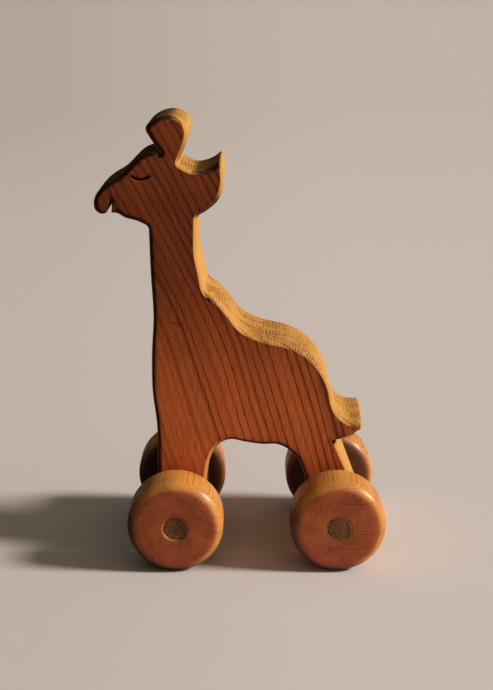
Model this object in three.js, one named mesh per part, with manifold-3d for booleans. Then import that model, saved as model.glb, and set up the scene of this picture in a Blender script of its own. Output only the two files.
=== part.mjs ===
// Giraffe push toy: one thick sawn plank on two turning axles with four turned wheels.
//
// Frame: millimetres, +Z up, the giraffe looks along -X, and its left side is the -Y side.
// The origin lies on the floor under the middle of the toy.

import * as THREE from 'three';
import { mergeVertices } from 'three/addons/utils/BufferGeometryUtils.js';
import Module from 'manifold-3d';

// ---- driving dimensions ---------------------------------------------------------------

const plankThickness = 38;

const wheelRadius = 21;
const wheelWidth = 21;
const shoulderRadius = 4.4;
const wheelSides = 48;
const shoulderSteps = 5;

const axleRadius = 5;
const axleSides = 32;
const dowelRecess = 0.4;
const frontAxleX = -29.5;
const rearAxleX = 41.7;

const glueGap = 0.3;
const runningGap = 0.5;
const wheelToLegGap = 1;

const eyeDepth = 0.6;
const eyeWidth = 0.9;
const tailEndX = 54.8;

// ---- sizes that follow from them ------------------------------------------------------

const halfPlank = plankThickness / 2;
const wheelMiddleY = halfPlank + wheelToLegGap + wheelWidth / 2;
const wheelOuterY = wheelMiddleY + wheelWidth / 2;
const axleLength = 2 * (wheelOuterY - dowelRecess);
const overcut = 2;

const wasm = await Module();
wasm.setup();

// ---- solids ---------------------------------------------------------------------------

// Turns a closed three.js geometry into a manifold solid.
function toSolid(geometry) {
  const bare = geometry.index ? geometry.toNonIndexed() : geometry.clone();
  bare.deleteAttribute('normal');
  bare.deleteAttribute('uv');
  const merged = mergeVertices(bare, 1e-4);
  return new wasm.Manifold(new wasm.Mesh({
    numProp: 3,
    vertProperties: new Float32Array(merged.attributes.position.array),
    triVerts: new Uint32Array(merged.index.array),
  }));
}

// Turns a manifold solid back into a three.js geometry.
function toGeometry(solid) {
  const mesh = solid.getMesh();
  const geometry = new THREE.BufferGeometry();
  geometry.setAttribute('position', new THREE.BufferAttribute(mesh.vertProperties, 3));
  geometry.setIndex(new THREE.BufferAttribute(mesh.triVerts, 1));
  geometry.computeVertexNormals();
  return geometry;
}

// Extrudes a side-view shape, drawn as x and z, from one y to a higher one.
function sideExtrusion(shape, lowY, highY, curveSegments) {
  const options = { depth: highY - lowY, bevelEnabled: false, curveSegments };
  const geometry = new THREE.ExtrudeGeometry(shape, options);
  geometry.rotateX(Math.PI / 2);
  geometry.translate(0, highY, 0);
  return geometry;
}

// Radius of a polygon's corners when its flats lie at the given radius.
function cornerRadius(flatRadius, sides) {
  return flatRadius / Math.cos(Math.PI / sides);
}

// ---- giraffe body ---------------------------------------------------------------------

// Where the crown of the head meets the front ear, as x and z.
const crown = [-33.6, 180.1];

// Adds a smooth stretch through the given points to an outline.
function smoothThrough(shape, points) {
  shape.splineThru(points.map(([x, z]) => new THREE.Vector2(x, z)));
}

// Crown of the head, muzzle, saw-cut mouth and jaw, down to the throat.
function drawHead(shape) {
  smoothThrough(shape, [[-38.5, 181], [-43.2, 179.2], [-47.2, 175.6], [-51.5, 171.4], [-56.6, 168.3],
    [-60.4, 165], [-62.4, 161.4], [-62.5, 157.2], [-60.2, 155], [-57.3, 155.2]]);
  shape.lineTo(-55.8, 160.9);
  shape.lineTo(-54.9, 160.9);
  shape.lineTo(-55.3, 155.7);
  smoothThrough(shape, [[-52.8, 155.3], [-49.6, 153.5], [-44.6, 152.1], [-39.8, 149.9]]);
}

// Front edge of the neck, chest and front leg.
function drawChest(shape) {
  smoothThrough(shape, [[-39.4, 130], [-38.6, 111], [-39.6, 94], [-39.7, 77], [-38, 60], [-38.1, 40]]);
}

// Rounded foot of a leg, from its front edge to its back edge.
function drawFoot(shape, frontX, backX, kneeFrontZ, kneeBackZ) {
  const footZ = 10;
  const footRadius = 6;
  shape.lineTo(frontX, kneeFrontZ);
  shape.quadraticCurveTo(frontX, footZ, frontX + footRadius, footZ);
  shape.lineTo(backX - footRadius, footZ);
  shape.quadraticCurveTo(backX, footZ, backX, kneeBackZ);
}

// Arch under the belly, between the legs.
function drawBelly(shape) {
  shape.lineTo(-16.2, 36);
  smoothThrough(shape, [[-14.6, 45], [-11, 51.4], [-5.5, 54], [1, 52.8], [8.5, 51.7], [15.5, 51.6],
    [21.5, 48.3], [25.4, 43.2], [27.6, 37]]);
}

// Back of the rear leg, the saw's overrun in the corner and the underside of the tail.
function drawRumpUnderside(shape) {
  smoothThrough(shape, [[46.9, 40.5], [43.8, 47.7], [41.5, 52.9]]);
  shape.lineTo(39.5, 52.8);
  shape.lineTo(39.5, 53.6);
  shape.lineTo(41.3, 53.8);
  smoothThrough(shape, [[44.8, 54.4], [48.9, 56.2], [51, 58], [tailEndX, 58.8]]);
}

// Top of the tail, rump, back and the back edge of the neck.
function drawBack(shape) {
  shape.lineTo(tailEndX, 61.3);
  smoothThrough(shape, [[50.5, 61.9], [46.5, 62.6], [42.3, 66], [40, 71], [38.6, 78], [34.8, 86],
    [28.6, 93.2], [20, 97.6], [8, 100.7], [-0.5, 104.9], [-5.4, 111], [-10.4, 116.9], [-14.6, 120.2]]);
  smoothThrough(shape, [[-16.4, 122.4], [-18, 130.3], [-19.5, 139], [-19.4, 156.4]]);
}

// Back ear, a crescent that points up and back.
function drawBackEar(shape) {
  smoothThrough(shape, [[-15, 158.5], [-11.2, 161.4], [-8.7, 165.4], [-7.9, 170], [-8.2, 174], [-9.3, 178]]);
  smoothThrough(shape, [[-12, 175.6], [-16.5, 173.7], [-21, 173.4], [-27.2, 176.3]]);
}

// Front ear, a teardrop that stands on the crown.
function drawFrontEar(shape) {
  smoothThrough(shape, [[-25.4, 180.4], [-23.4, 185.4], [-22.8, 189.6], [-24.6, 194], [-29.2, 196.3],
    [-34.5, 195.6], [-38.6, 193.3], [-39.8, 190.6], [-37.9, 186.4], crown]);
}

function bodyShape() {
  const shape = new THREE.Shape();
  shape.moveTo(...crown);
  drawHead(shape);
  drawChest(shape);
  drawFoot(shape, -38.2, -16.9, 18, 18);
  drawBelly(shape);
  drawFoot(shape, 31.2, 53.8, 18, 22);
  drawRumpUnderside(shape);
  drawBack(shape);
  drawBackEar(shape);
  drawFrontEar(shape);
  return shape;
}

// Crescent of a closed eyelid: two arcs between the same corners.
function eyeShape() {
  const [left, right] = [-46.7, -38.8];
  const middle = (left + right) / 2;
  const cornerZ = 171.5;
  const dip = 3.8;
  const shape = new THREE.Shape();
  shape.moveTo(left, cornerZ);
  shape.quadraticCurveTo(middle, cornerZ - dip - eyeWidth, right, cornerZ);
  shape.quadraticCurveTo(middle, cornerZ - dip + eyeWidth, left, cornerZ);
  return shape;
}

// Wedge that trims the tail's end, so that it is a little longer on the right side and has
// three small splits across its thickness. Drawn in plan, as x and y.
function tailTrimmer() {
  const outside = tailEndX + overcut;
  const rightY = halfPlank + overcut;
  const shape = new THREE.Shape();
  shape.moveTo(outside, -rightY);
  shape.lineTo(52.7, -rightY);
  shape.lineTo(53, -16.6);
  shape.lineTo(52.1, -15.6);
  shape.lineTo(53.3, -14.4);
  shape.lineTo(53.5, -9.2);
  shape.lineTo(52.4, -7.8);
  shape.lineTo(53.8, -6.2);
  shape.lineTo(53.9, 0.4);
  shape.lineTo(52.2, 2);
  shape.lineTo(54.3, 4.2);
  shape.lineTo(54.4, rightY);
  shape.lineTo(outside, rightY);
  const geometry = new THREE.ExtrudeGeometry(shape, { depth: 12, bevelEnabled: false });
  geometry.translate(0, 0, 54);
  return toSolid(geometry);
}

function axleBore(x) {
  const radius = cornerRadius(axleRadius + runningGap, axleSides);
  const geometry = new THREE.CylinderGeometry(radius, radius, plankThickness + 2 * overcut, axleSides);
  geometry.translate(x, 0, wheelRadius);
  return toSolid(geometry);
}

function makeBody() {
  let solid = toSolid(sideExtrusion(bodyShape(), -halfPlank, halfPlank, 3));
  for (const x of [frontAxleX, rearAxleX]) {
    solid = solid.subtract(axleBore(x));
  }
  const eye = eyeShape();
  for (const side of [-1, 1]) {
    const inner = side * (halfPlank - eyeDepth);
    const outer = side * (halfPlank + overcut);
    const cutter = sideExtrusion(eye, Math.min(inner, outer), Math.max(inner, outer), 8);
    solid = solid.subtract(toSolid(cutter));
  }
  return toGeometry(solid.subtract(tailTrimmer()));
}

// ---- wheels and axles -----------------------------------------------------------------

// Half section of a wheel: a bored disc with a round shoulder on each rim.
function wheelProfile() {
  const bore = cornerRadius(axleRadius + glueGap, wheelSides);
  const flatToCorner = cornerRadius(1, wheelSides);
  const half = wheelWidth / 2;
  const profile = [new THREE.Vector2(bore, -half)];
  for (const side of [-1, 1]) {
    for (let step = 0; step <= shoulderSteps; step += 1) {
      const turn = (Math.PI / 2) * (step / shoulderSteps);
      const along = side < 0 ? Math.cos(turn) : Math.sin(turn);
      const across = side < 0 ? Math.sin(turn) : Math.cos(turn);
      const radius = wheelRadius - shoulderRadius + shoulderRadius * across;
      profile.push(new THREE.Vector2(
        radius * flatToCorner,
        side * (half - shoulderRadius + shoulderRadius * along),
      ));
    }
  }
  profile.push(new THREE.Vector2(bore, half));
  profile.push(profile[0].clone());
  return profile;
}

// The wheel's polygon has flats below and at the sides, so it stands on a flat.
function makeWheel() {
  return new THREE.LatheGeometry(wheelProfile(), wheelSides, Math.PI / wheelSides);
}

function makeAxle() {
  return new THREE.CylinderGeometry(axleRadius, axleRadius, axleLength, axleSides);
}

// ---- finishes and assembly ------------------------------------------------------------

const finishes = {
  plank: { color: 0xa8642f, roughness: 0.5 },
  wheel: { color: 0xb06a30, roughness: 0.38 },
  dowel: { color: 0x6e4426, roughness: 0.7 },
};

function makePiece(name, geometry, finish, x = 0, y = 0, z = 0) {
  const material = new THREE.MeshStandardMaterial({ ...finishes[finish], metalness: 0 });
  const mesh = new THREE.Mesh(geometry, material);
  mesh.name = name;
  mesh.position.set(x, y, z);
  return mesh;
}

const giraffe = new THREE.Group();
giraffe.add(makePiece('giraffe_body', makeBody(), 'plank'));

for (const [end, x] of [['front', frontAxleX], ['rear', rearAxleX]]) {
  giraffe.add(makePiece(`${end}_axle`, makeAxle(), 'dowel', x, 0, wheelRadius));
  for (const [side, direction] of [['left', -1], ['right', 1]]) {
    const name = `${end}_${side}_wheel`;
    giraffe.add(makePiece(name, makeWheel(), 'wheel', x, direction * wheelMiddleY, wheelRadius));
  }
}

export default giraffe;
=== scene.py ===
"""Looks of a sawn wooden giraffe on four turned wheels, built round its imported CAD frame.

Meshes are in metres. The sizes and places held by the toy's classes are in millimetres, and
those held by the floor and the studio are in metres.
+Z is up, the giraffe looks along -X, its left side is the -Y side, and the floor is z = 0.
"""

import logging
import math
from dataclasses import dataclass, field
from enum import Enum

import bpy
import numpy as np
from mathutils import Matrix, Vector, geometry


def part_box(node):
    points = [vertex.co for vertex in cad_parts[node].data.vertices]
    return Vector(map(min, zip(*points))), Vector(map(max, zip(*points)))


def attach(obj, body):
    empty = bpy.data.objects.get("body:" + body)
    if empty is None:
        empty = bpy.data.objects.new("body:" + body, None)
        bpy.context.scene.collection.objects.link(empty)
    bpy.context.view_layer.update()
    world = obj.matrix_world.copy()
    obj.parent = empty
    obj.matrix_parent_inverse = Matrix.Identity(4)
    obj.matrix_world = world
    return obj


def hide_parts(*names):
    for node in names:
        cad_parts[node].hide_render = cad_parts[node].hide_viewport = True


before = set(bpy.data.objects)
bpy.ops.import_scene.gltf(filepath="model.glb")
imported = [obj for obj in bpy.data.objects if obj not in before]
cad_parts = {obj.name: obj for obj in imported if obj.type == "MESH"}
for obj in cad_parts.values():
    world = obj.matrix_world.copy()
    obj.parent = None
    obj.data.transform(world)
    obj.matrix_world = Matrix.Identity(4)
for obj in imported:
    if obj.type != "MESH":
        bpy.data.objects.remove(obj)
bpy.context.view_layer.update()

MM = 0.001
LOG = logging.getLogger("giraffe")

# The plank's rings lean back by this much for each millimetre of height, and by the second
# number more in the neck.
RING_LEAN = 0.29
NECK_LEAN = 0.25

Colour = tuple[float, float, float]
Socket = bpy.types.NodeSocket


class Side(Enum):
    """The two sides of the toy, by the sign of y."""

    LEFT = -1
    RIGHT = 1


class End(Enum):
    """The two axles of the toy."""

    FRONT = "front"
    REAR = "rear"


# ---- node trees -----------------------------------------------------------------------------


class Sketch:
    """Short calls that lay nodes into one shader or geometry node tree."""

    def __init__(self, tree: bpy.types.NodeTree) -> None:
        """Keeps the tree that the calls draw in."""
        self.tree = tree

    def put(self, socket: Socket, value: object) -> None:
        """Feeds an input socket.

        Args:
            socket: The input to feed.
            value: Another node's output to link, or a plain value to set.
        """
        if isinstance(value, bpy.types.NodeSocket):
            self.tree.links.new(value, socket)
        else:
            socket.default_value = value

    def add(self, kind: str, inputs: dict | None = None, **settings: object) -> bpy.types.Node:
        """Adds one node.

        Args:
            kind: Blender's name of the node type.
            inputs: Values or links by input name or index.
            **settings: Properties of the node.

        Returns:
            The new node.
        """
        node = self.tree.nodes.new(kind)
        for name, value in settings.items():
            setattr(node, name, value)
        for key, value in (inputs or {}).items():
            self.put(node.inputs[key], value)
        return node

    def math(self, operation: str, first: object, second: object = 0.0, third: object = 0.0,
             clamp: bool = False) -> Socket:
        """Adds a Math node and returns its value."""
        values = {0: first, 1: second, 2: third}
        return self.add("ShaderNodeMath", values, operation=operation, use_clamp=clamp).outputs[0]

    def times(self, first: object, second: object) -> Socket:
        """Returns the product of two values."""
        return self.math("MULTIPLY", first, second)

    def times_plus(self, first: object, second: object, third: object) -> Socket:
        """Returns the product of two values, plus a third."""
        return self.math("MULTIPLY_ADD", first, second, third)

    def layers(self, base: object, shares: tuple, clamp: bool = False) -> Socket:
        """Adds shares of several masks to a value, one after the other.

        Args:
            base: The value to begin with.
            shares: Pairs of a mask and its share.
            clamp: Whether the sum is held between 0 and 1.

        Returns:
            The sum.
        """
        for mask, share in shares[:-1]:
            base = self.math("MULTIPLY_ADD", mask, share, base)
        return self.math("MULTIPLY_ADD", *shares[-1], base, clamp=clamp)

    def vector(self, operation: str, first: object, second: object = (0, 0, 0),
               scale: object = 1.0) -> Socket:
        """Adds a Vector Math node and returns its vector."""
        node = self.add("ShaderNodeVectorMath", {0: first, 1: second}, operation=operation)
        if operation == "SCALE":
            self.put(node.inputs["Scale"], scale)
        return node.outputs[0]

    def split(self, vector: object) -> list[Socket]:
        """Returns the x, y and z of a vector."""
        return list(self.add("ShaderNodeSeparateXYZ", {0: vector}).outputs)

    def join(self, x: object, y: object, z: object) -> Socket:
        """Returns the vector made of x, y and z."""
        return self.add("ShaderNodeCombineXYZ", {0: x, 1: y, 2: z}).outputs[0]

    def ramp(self, value: object, start: float, stop: float, low: float = 0.0,
             high: float = 1.0) -> Socket:
        """Returns low before start, high after stop, with a smooth rise between them."""
        inputs = {0: value, 1: start, 2: stop, 3: low, 4: high}
        return self.add("ShaderNodeMapRange", inputs, interpolation_type="SMOOTHSTEP").outputs[0]

    def noise(self, vector: object, detail: float = 2.0, roughness: float = 0.5) -> Socket:
        """Returns smooth 3-D noise of about one blob to the unit, from 0 to 1."""
        inputs = {"Vector": vector, "Scale": 1.0, "Detail": detail, "Roughness": roughness}
        return self.add("ShaderNodeTexNoise", inputs).outputs[0]

    def noise_line(self, along: object, detail: float = 1.0) -> Socket:
        """Returns smooth 1-D noise of about one swell to the unit, from 0 to 1."""
        inputs = {"W": along, "Scale": 1.0, "Detail": detail}
        return self.add("ShaderNodeTexNoise", inputs, noise_dimensions="1D").outputs[0]

    def chance(self, value: object) -> Socket:
        """Returns a number from 0 to 1 that looks random and belongs to the value."""
        return self.add("ShaderNodeTexWhiteNoise", {"W": value}, noise_dimensions="1D").outputs[0]

    def mix(self, factor: object, first: object, second: object, blend: str = "MIX") -> Socket:
        """Returns one colour mixed into another."""
        node = self.add("ShaderNodeMix", data_type="RGBA", blend_type=blend)
        self.put(node.inputs["Factor"], factor)
        self.put(node.inputs[6], paint(first))
        self.put(node.inputs[7], paint(second))
        return node.outputs[2]

    def attribute(self, name: str) -> bpy.types.Node:
        """Returns a node that reads one of the mesh's own attributes."""
        return self.add("ShaderNodeAttribute", attribute_name=name)

    def group(self, tree: bpy.types.NodeTree, inputs: dict) -> dict[str, Socket]:
        """Places a shader node group and returns its outputs by name."""
        node = self.tree.nodes.new("ShaderNodeGroup")
        node.node_tree = tree
        for name, value in inputs.items():
            self.put(node.inputs[name], value)
        return {socket.name: socket for socket in node.outputs}


def paint(value: object) -> object:
    """Gives a plain colour the alpha that a colour socket wants, and passes a link through."""
    if isinstance(value, tuple) and len(value) == 3:
        return (*value, 1.0)
    return value


def new_group(name: str, kind: str, inputs: dict, outputs: dict) -> tuple[Sketch, dict, dict]:
    """Starts a node group with named sockets.

    Args:
        name: Name of the group.
        kind: ShaderNodeTree or GeometryNodeTree.
        inputs: Default value, or None, by (socket name, socket type).
        outputs: Socket type by socket name.

    Returns:
        A sketch of the group, its inner input sockets by name and its inner output sockets.
    """
    tree = bpy.data.node_groups.new(name, kind)
    for (socket_name, socket_type), default in inputs.items():
        socket = tree.interface.new_socket(socket_name, in_out="INPUT", socket_type=socket_type)
        if default is not None:
            socket.default_value = default
    for socket_name, socket_type in outputs.items():
        tree.interface.new_socket(socket_name, in_out="OUTPUT", socket_type=socket_type)
    entry = tree.nodes.new("NodeGroupInput")
    leave = tree.nodes.new("NodeGroupOutput")
    given = {socket.name: socket for socket in entry.outputs if socket.name}
    wanted = {socket.name: socket for socket in leave.inputs if socket.name}
    return Sketch(tree), given, wanted


FLOAT = "NodeSocketFloat"
VECTOR = "NodeSocketVector"


class TimberGroups:
    """The effects that several of the woods share, each built once as a shader node group."""

    def __init__(self) -> None:
        """Builds every group."""
        self.rings = self.growth_rings()
        self.fibres = self.fibre_streaks()
        self.cuts = self.cross_cuts()

    def growth_rings(self) -> bpy.types.NodeTree:
        """Dark latewood lines of uneven spacing and strength, and broad darker years.

        Returns:
            A group that reads a coordinate counted in rings.
        """
        swells_per_ring, off_centre = 0.43, 1.5
        year_pace, year_start, other_chance = 0.27, 31.7, 0.37
        sketch, given, wanted = new_group("growth_rings", "ShaderNodeTree", {
            ("Ring", FLOAT): 0.0, ("Unevenness", FLOAT): 1.4, ("Width", FLOAT): 0.5,
            ("Seed", FLOAT): 0.0,
        }, {"Lines": FLOAT, "Years": FLOAT})
        start = sketch.math("ADD", given["Ring"], given["Seed"])
        swell = sketch.noise_line(sketch.times(start, swells_per_ring))
        drift = sketch.times(sketch.math("SUBTRACT", swell, 0.5), given["Unevenness"])
        ring = sketch.math("ADD", start, drift)
        number = sketch.math("FLOOR", ring)
        strength = sketch.times_plus(sketch.chance(number), 0.65, 0.35)
        breadth = sketch.times_plus(sketch.chance(sketch.math("ADD", number, other_chance)),
                                    0.9, 0.4)
        phase = sketch.math("POWER", sketch.math("FRACT", ring), off_centre)
        off_middle = sketch.math("ABSOLUTE", sketch.times_plus(phase, 2.0, -1.0))
        reach = sketch.times(given["Width"], breadth)
        line = sketch.ramp(sketch.math("DIVIDE", off_middle, reach), 0.0, 1.0, 1.0, 0.0)
        sketch.put(wanted["Lines"], sketch.times(line, strength))
        slow = sketch.noise_line(sketch.times_plus(ring, year_pace, year_start), detail=2.0)
        sketch.put(wanted["Years"], sketch.ramp(slow, 0.42, 0.68))
        return sketch.tree

    def fibre_streaks(self) -> bpy.types.NodeTree:
        """Fine streaks and short dark pores that run along z of the position, in millimetres."""
        streaks_per_mm, pores_per_mm = (1.9, 1.9, 0.11), (3.4, 3.4, 0.42)
        sketch, given, wanted = new_group("fibre_streaks", "ShaderNodeTree", {
            ("Position", VECTOR): None, ("Fineness", FLOAT): 1.0,
        }, {"Fibres": FLOAT, "Pores": FLOAT})
        scaled = sketch.vector("SCALE", given["Position"], scale=given["Fineness"])
        streak = sketch.noise(sketch.vector("MULTIPLY", scaled, streaks_per_mm), 4.0, 0.62)
        pore = sketch.noise(sketch.vector("MULTIPLY", scaled, pores_per_mm), 1.0)
        sketch.put(wanted["Fibres"], sketch.ramp(streak, 0.30, 0.70))
        sketch.put(wanted["Pores"], sketch.ramp(pore, 0.60, 0.72))
        return sketch.tree

    def cross_cuts(self) -> bpy.types.NodeTree:
        """Short dark lines across a sawn or turned surface, in broken patches."""
        sketch, given, wanted = new_group("cross_cuts", "ShaderNodeTree", {
            ("Along", FLOAT): 0.0, ("Across", FLOAT): 0.0, ("Pitch", FLOAT): 1.05,
        }, {"Marks": FLOAT, "Patches": FLOAT})

        def stretched(along: float, across: float, layer: float) -> Socket:
            """Returns a place in the noise, from scales for both ways and a layer of its own."""
            return sketch.join(sketch.times(given["Along"], along),
                               sketch.times(given["Across"], across), layer)

        sway_mm = 2.6
        sway = sketch.times(sketch.noise(stretched(0.11, 0.10, 0.0)), sway_mm)
        turns = sketch.math("DIVIDE", sketch.math("ADD", given["Along"], sway), given["Pitch"])
        wave = sketch.math("SINE", sketch.times(turns, math.tau))
        broken = sketch.noise(stretched(0.60, 0.30, 7.0), 2.0, 0.6)
        patch = sketch.noise(stretched(0.07, 0.09, 3.0))
        sketch.put(wanted["Marks"], sketch.times(sketch.ramp(wave, -0.3, 0.9),
                                                 sketch.ramp(broken, 0.40, 0.62)))
        sketch.put(wanted["Patches"], sketch.ramp(patch, 0.38, 0.62))
        return sketch.tree


# ---- finishes -------------------------------------------------------------------------------


def new_material(name: str) -> tuple[bpy.types.Material, Sketch, bpy.types.Node]:
    """Starts a node material and returns it, a sketch of its tree and its Principled shader."""
    material = bpy.data.materials.new(name)
    material.use_nodes = True
    return material, Sketch(material.node_tree), material.node_tree.nodes["Principled BSDF"]


def add_bump(sketch: Sketch, shader: bpy.types.Node, height: Socket, depth_mm: float) -> None:
    """Turns a height mask into the shader's normal, with the mask's full depth in millimetres."""
    bump = sketch.add("ShaderNodeBump", {"Strength": 1.0, "Distance": depth_mm * MM,
                                         "Height": height})
    sketch.put(shader.inputs["Normal"], bump.outputs[0])


@dataclass(frozen=True)
class PlankFinish:
    """Oiled plank: red-brown flat faces with dark rings, and golden sawn edges.

    Rings are counted across the stripes and through the plank. A turn holds the two places
    between which a mask rises, and its low and high values where they aren't 0 and 1. A share
    tells how strongly a mask darkens the wood.
    """

    name: str = "oiled_plank"
    face_light: Colour = (0.93, 0.205, 0.049)
    face_dark: Colour = (0.175, 0.036, 0.011)
    sawn_light: Colour = (0.72, 0.355, 0.080)
    sawn_dark: Colour = (0.28, 0.095, 0.017)
    handled: Colour = (0.40, 0.37, 0.39)
    soaked: Colour = (0.062, 0.034, 0.016)
    # Dark colour of the painted shade on eased edges that face away from the lamp.
    grimed_and_shaded: Colour = (0.020, 0.011, 0.007)
    burnt: Colour = (0.006, 0.004, 0.003)
    face_rings_per_mm: tuple[float, float] = (0.262, 0.60)
    sawn_rings_per_mm: tuple[float, float] = (0.115, 0.31)
    fine_rings_per_ring: float = 1.37
    fibre_lean: float = 0.07
    neck_start: float = 112.0
    neck_soften: float = 20.0
    wander_per_mm: tuple[float, float, float] = (0.035, 0.05, 0.012)
    wander_rings: float = 1.1
    saw_pitch: float = 1.45
    blotches_per_mm: float = 0.12
    boldness_turn: tuple[float, ...] = (-8.0, 14.0, 0.46, 0.74)
    dark_back_turn: tuple[float, ...] = (44.0, 62.0, 0.0, 0.28)
    handled_turn: tuple[float, ...] = (60.0, 135.0)
    crown_turn: tuple[float, ...] = (158.0, 180.0, 1.0, 0.86)
    year_share: float = 0.16
    fine_share: float = 0.55
    fibre_share: float = 0.32
    pore_share: float = 0.30
    rim_share: float = 0.50
    edge_shade_share: float = 0.88
    bump_mm: float = 0.14

    def build(self, groups: TimberGroups) -> bpy.types.Material:
        """Builds the material.

        Args:
            groups: The shared timber effects.

        Returns:
            The plank's material.
        """
        material, sketch, shader = new_material(self.name)
        place = sketch.add("ShaderNodeTexCoord").outputs["Object"]
        position = sketch.vector("SCALE", place, scale=1.0 / MM)
        masks = {name: sketch.attribute(name).outputs["Fac"] for name in
                 ("sawn", "end_grain_and_shade", "along", "edge_shade", "stain_and_shade", "oiled", "rim")}
        masks |= self.lay_grain(sketch, groups, position, masks["along"])
        masks["cross_marks"] = sketch.times(masks["Marks"], masks["end_grain_and_shade"])

        colour = sketch.mix(masks["sawn"], self.face_colour(sketch, position, masks),
                            self.sawn_colour(sketch, masks))
        # Painted shade: a dark band on the eased edges that face away from the lamp, and at the
        # darkened spots.
        colour = sketch.mix(sketch.times(masks["edge_shade"], self.edge_shade_share), colour, self.grimed_and_shaded)
        colour = sketch.mix(masks["stain_and_shade"], colour, self.burnt)
        sketch.put(shader.inputs["Base Color"], colour)
        sketch.put(shader.inputs["Roughness"], sketch.layers(0.44, (
            (masks["sawn"], 0.14), (masks["Fibres"], 0.12))))
        shader.inputs["Specular IOR Level"].default_value = 0.12
        height = sketch.layers(1.0, (
            (masks["Fibres"], -0.35), (masks["Pores"], -0.35), (masks["Lines"], -0.12),
            (sketch.times(masks["cross_marks"], masks["sawn"]), -0.9)))
        add_bump(sketch, shader, height, self.bump_mm)
        return material

    def lay_grain(self, sketch: Sketch, groups: TimberGroups, position: Socket,
                  along: Socket) -> dict[str, Socket]:
        """Lays rings, fibres and saw marks into the plank.

        Args:
            sketch: The material's tree.
            groups: The shared timber effects.
            position: Place in millimetres.
            along: Way along the sawn edge in millimetres.

        Returns:
            The masks of the effects, and "across", the place across the stripes.
        """
        x, y, z = sketch.split(position)
        above = sketch.math("SUBTRACT", z, self.neck_start)
        root = sketch.math("SQRT", sketch.times_plus(above, above, self.neck_soften ** 2))
        neck = sketch.times(sketch.math("ADD", root, above), 0.5)
        bent = sketch.times_plus(neck, NECK_LEAN, x)
        across = sketch.times_plus(z, RING_LEAN, bent)
        fibre_x = sketch.times_plus(z, self.fibre_lean, bent)
        slow = sketch.vector("MULTIPLY", position, self.wander_per_mm)
        wander = sketch.times(sketch.noise(slow, 3.0), self.wander_rings)
        face_ring, sawn_ring = [
            sketch.math("ADD", wander, sketch.times_plus(across, pace, sketch.times(y, deep)))
            for pace, deep in (self.face_rings_per_mm, self.sawn_rings_per_mm)]
        face = sketch.group(groups.rings, {
            "Ring": face_ring, "Unevenness": 0.9, "Width": 0.74, "Seed": 12.0})
        fine = sketch.group(groups.rings, {
            "Ring": sketch.times(face_ring, self.fine_rings_per_ring), "Unevenness": 2.4,
            "Width": 0.20, "Seed": 71.0})
        edge = sketch.group(groups.rings, {"Ring": sawn_ring, "Width": 0.40, "Seed": 90.0})
        fibre = sketch.group(groups.fibres, {"Position": sketch.join(fibre_x, y, z)})
        cuts = sketch.group(groups.cuts, {"Along": along, "Across": y, "Pitch": self.saw_pitch})
        return face | fibre | cuts | {
            "across": across, "edge_lines": edge["Lines"],
            "fine_lines": sketch.times(fine["Lines"], fine["Years"])}

    def face_colour(self, sketch: Sketch, position: Socket, masks: dict[str, Socket]) -> Socket:
        """Returns the colour of the flat faces, darker to the back and round the rim."""
        z = sketch.split(position)[2]
        boldness = sketch.ramp(masks["across"], *self.boldness_turn)
        dark = sketch.times_plus(masks["Years"], self.year_share,
                                 sketch.times(masks["Lines"], boldness))
        dark = sketch.math("ADD", dark, sketch.ramp(masks["across"], *self.dark_back_turn))
        blotch = sketch.noise(sketch.vector("SCALE", position, scale=self.blotches_per_mm))
        patchy = sketch.times_plus(sketch.ramp(blotch, 0.3, 0.7), 0.7, 0.3)
        dark = sketch.layers(dark, (
            (masks["fine_lines"], self.fine_share), (masks["Fibres"], self.fibre_share),
            (masks["Pores"], self.pore_share),
            (sketch.times(masks["rim"], patchy), self.rim_share)))
        touched = sketch.times(sketch.ramp(z, *self.handled_turn),
                               sketch.ramp(z, *self.crown_turn))
        colour = sketch.mix(dark, self.face_light, self.face_dark)
        return sketch.mix(touched, colour, self.handled, "MULTIPLY")

    def sawn_colour(self, sketch: Sketch, masks: dict[str, Socket]) -> Socket:
        """Returns the colour of the sawn edges, dark where the end grain took in the oil."""
        end_grain_and_shade, patches = masks["end_grain_and_shade"], masks["Patches"]
        lines = sketch.times(masks["edge_lines"], sketch.times_plus(end_grain_and_shade, 1.05, 0.12))
        patchy_marks = sketch.times(masks["cross_marks"], sketch.times_plus(patches, 0.7, 0.3))
        shade = sketch.layers(lines, (
            (patchy_marks, 1.0), (patches, sketch.times(end_grain_and_shade, 0.30)),
            (masks["Fibres"], 0.16), (masks["Pores"], 0.22)), clamp=True)
        soaked = sketch.times(masks["oiled"], sketch.times_plus(shade, 0.15, 0.85))
        return sketch.mix(soaked, sketch.mix(shade, self.sawn_light, self.sawn_dark), self.soaked)


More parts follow.
